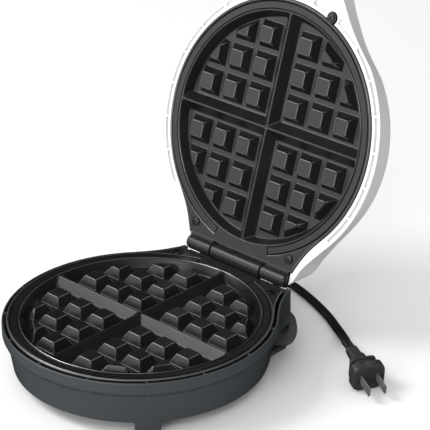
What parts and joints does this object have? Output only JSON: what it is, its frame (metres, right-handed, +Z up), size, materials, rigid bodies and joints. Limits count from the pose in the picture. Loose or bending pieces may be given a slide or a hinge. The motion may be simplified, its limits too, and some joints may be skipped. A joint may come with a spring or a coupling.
{
  "type": "waffle maker",
  "caption": "Round flip-open waffle maker with hinged lid, deep four-quarter grid plates, cord-wrap ears and a flat two-pin mains lead.",
  "frame": {"origin": "on the floor under the middle of the open waffle maker, its cord left out", "axes": "+Z up, +Y from the front of the base towards the hinge, +X along the hinge to the right"},
  "size_m": [0.2956, 0.3695, 0.2935],
  "materials": {
    "slate_plastic": "satin",
    "white_plastic": "satin",
    "nonstick": "non-stick coated",
    "black_plastic": "matte",
    "plug_plastic": "satin",
    "cord_jacket": "satin",
    "rubber": "matte",
    "steel": "bright",
    "screw_steel": "blackened",
    "bright_aluminium": "bright",
    "ceramic": "matte",
    "circuit_board": "satin",
    "sleeving": "braided",
    "amber_lens": "gloss",
    "green_lens": "gloss"
  },
  "bodies": {
    "base": {"base_shell": "slate_plastic", "base_cover": "black_plastic", "lower_plate": "nonstick", "lower_element": "steel", "lower_reflector": "bright_aluminium", "thermostat": "ceramic", "thermal_fuse": "bright_aluminium", "terminal_block": "ceramic", "strain_relief": "black_plastic", "hinge_pin": "steel", "front_pad_left": "rubber", "rear_pad_left": "rubber", "lower_plate_screw_left": "screw_steel", "front_pad_right": "rubber", "rear_pad_right": "rubber", "lower_plate_screw_right": "screw_steel", "cover_screw_1": "screw_steel", "cover_screw_2": "screw_steel", "cover_screw_3": "screw_steel", "cover_screw_4": "screw_steel", "lead_sleeve": "sleeving", "power_cord": "cord_jacket", "cord_coil": "cord_jacket", "cord_lead": "cord_jacket", "plug_body": "plug_plastic", "plug_blade_left": "steel", "plug_blade_right": "steel"},
    "lid": {"lid_shell": "white_plastic", "upper_plate": "nonstick", "upper_element": "steel", "upper_reflector": "bright_aluminium", "upper_plate_screw_1": "screw_steel", "upper_plate_screw_2": "screw_steel", "upper_plate_screw_3": "screw_steel", "upper_plate_screw_4": "screw_steel", "power_lens": "amber_lens", "ready_lens": "green_lens", "lamp_board": "circuit_board"}
  },
  "joints": [
    {"name": "lid_hinge", "type": "hinge", "parent": "base", "child": "lid", "pos_m": [0, 0.05525, 0.0516], "axis": [1, 0, 0], "range_deg": [0, 107.8], "deforming": ["lead_sleeve"]}
  ]
}
